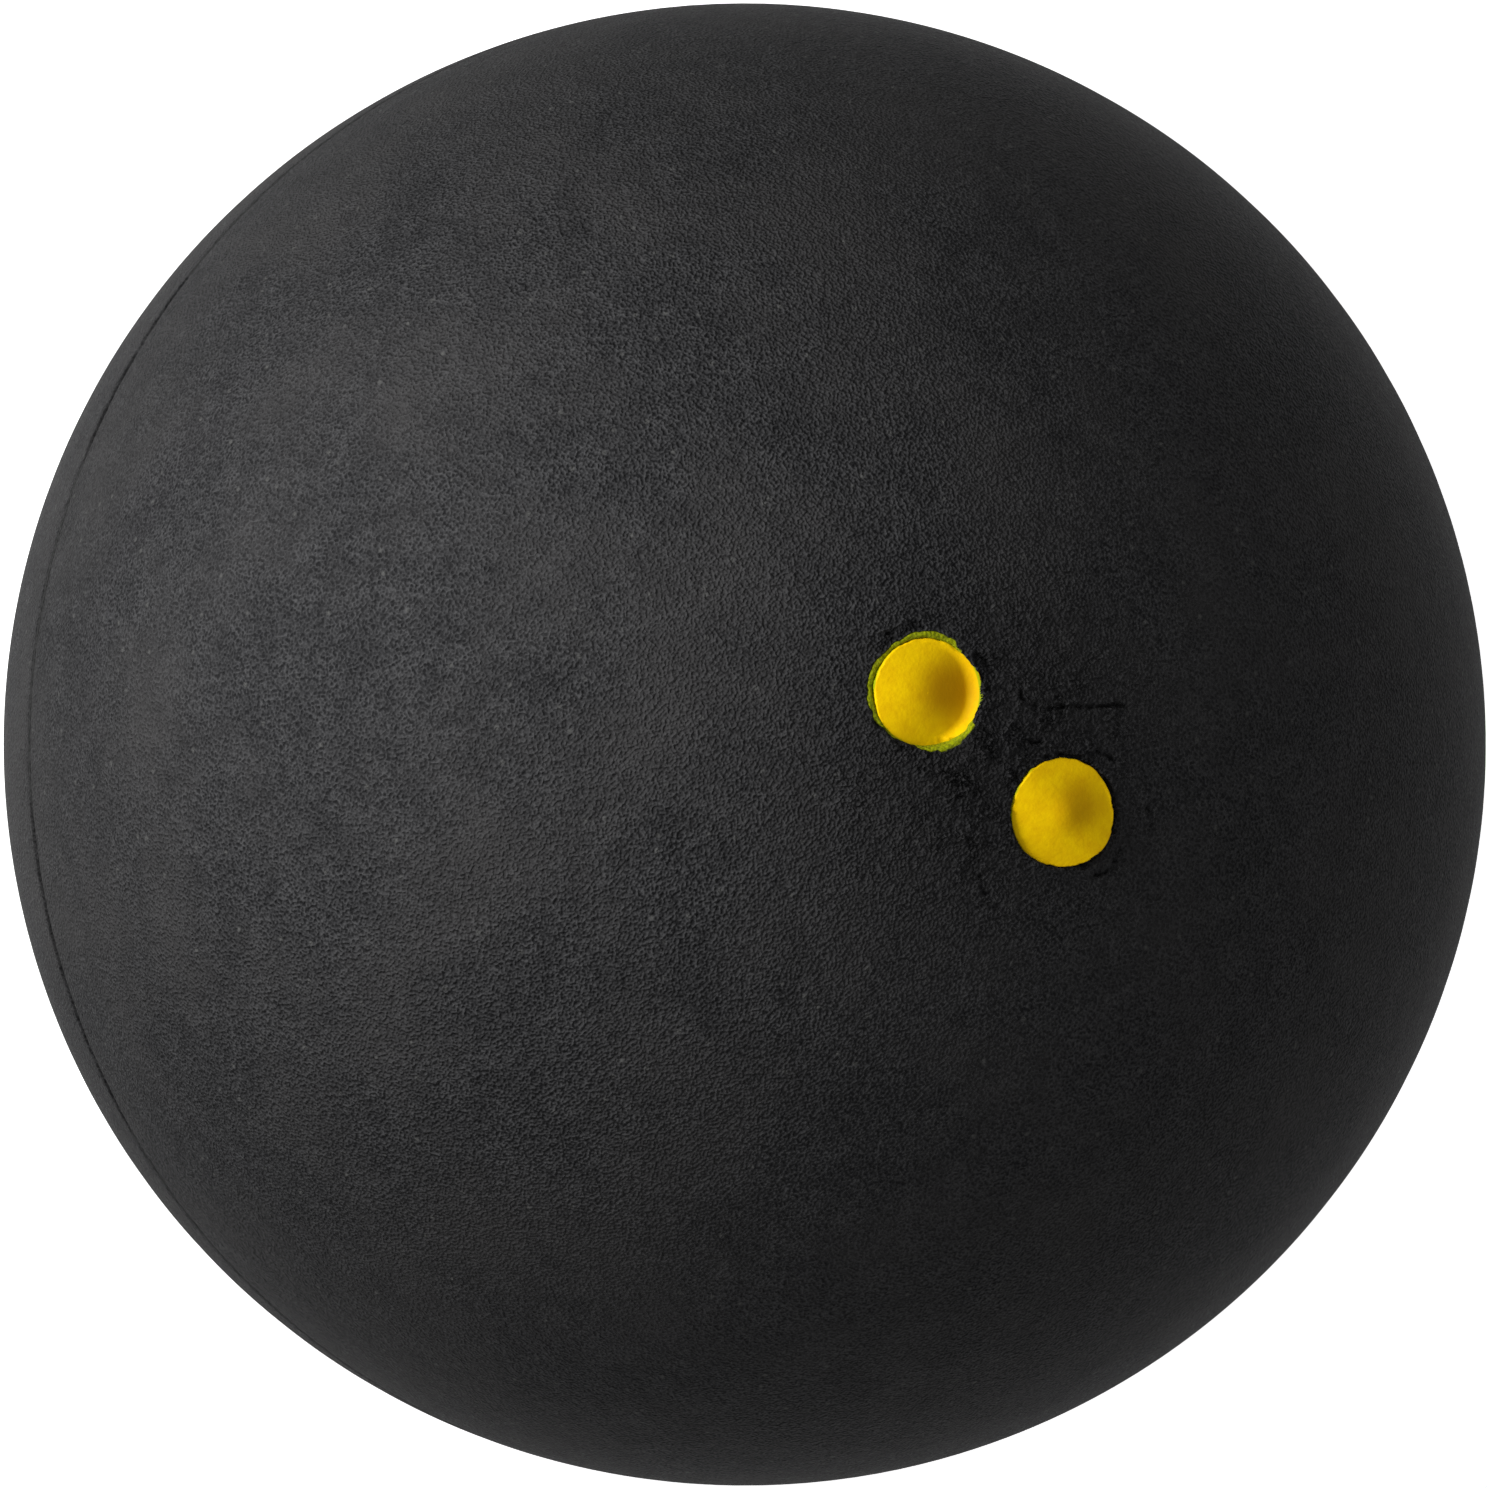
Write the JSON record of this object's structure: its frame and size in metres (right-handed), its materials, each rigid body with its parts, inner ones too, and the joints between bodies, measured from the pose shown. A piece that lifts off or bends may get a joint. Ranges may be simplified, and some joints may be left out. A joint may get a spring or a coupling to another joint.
{
  "type": "squash ball",
  "caption": "Hollow black rubber squash ball: cemented half shells with a fine seam and yellow speed dots set in pressed recesses at one pole.",
  "frame": {"origin": "the ball's centre, in the plane of the seam", "axes": "+Z from the centre through the middle of the pair of dots, square to the seam; +X from the first dot towards the second"},
  "size_m": [0.04, 0.04, 0.04],
  "materials": {
    "black_rubber": "matte",
    "rubber_cement": "matte",
    "yellow_paint": "satin"
  },
  "bodies": {
    "root": {"upper_half_shell": "black_rubber", "lower_half_shell": "black_rubber", "seam_cement": "rubber_cement", "first_yellow_dot": "yellow_paint", "second_yellow_dot": "yellow_paint"}
  },
  "joints": []
}
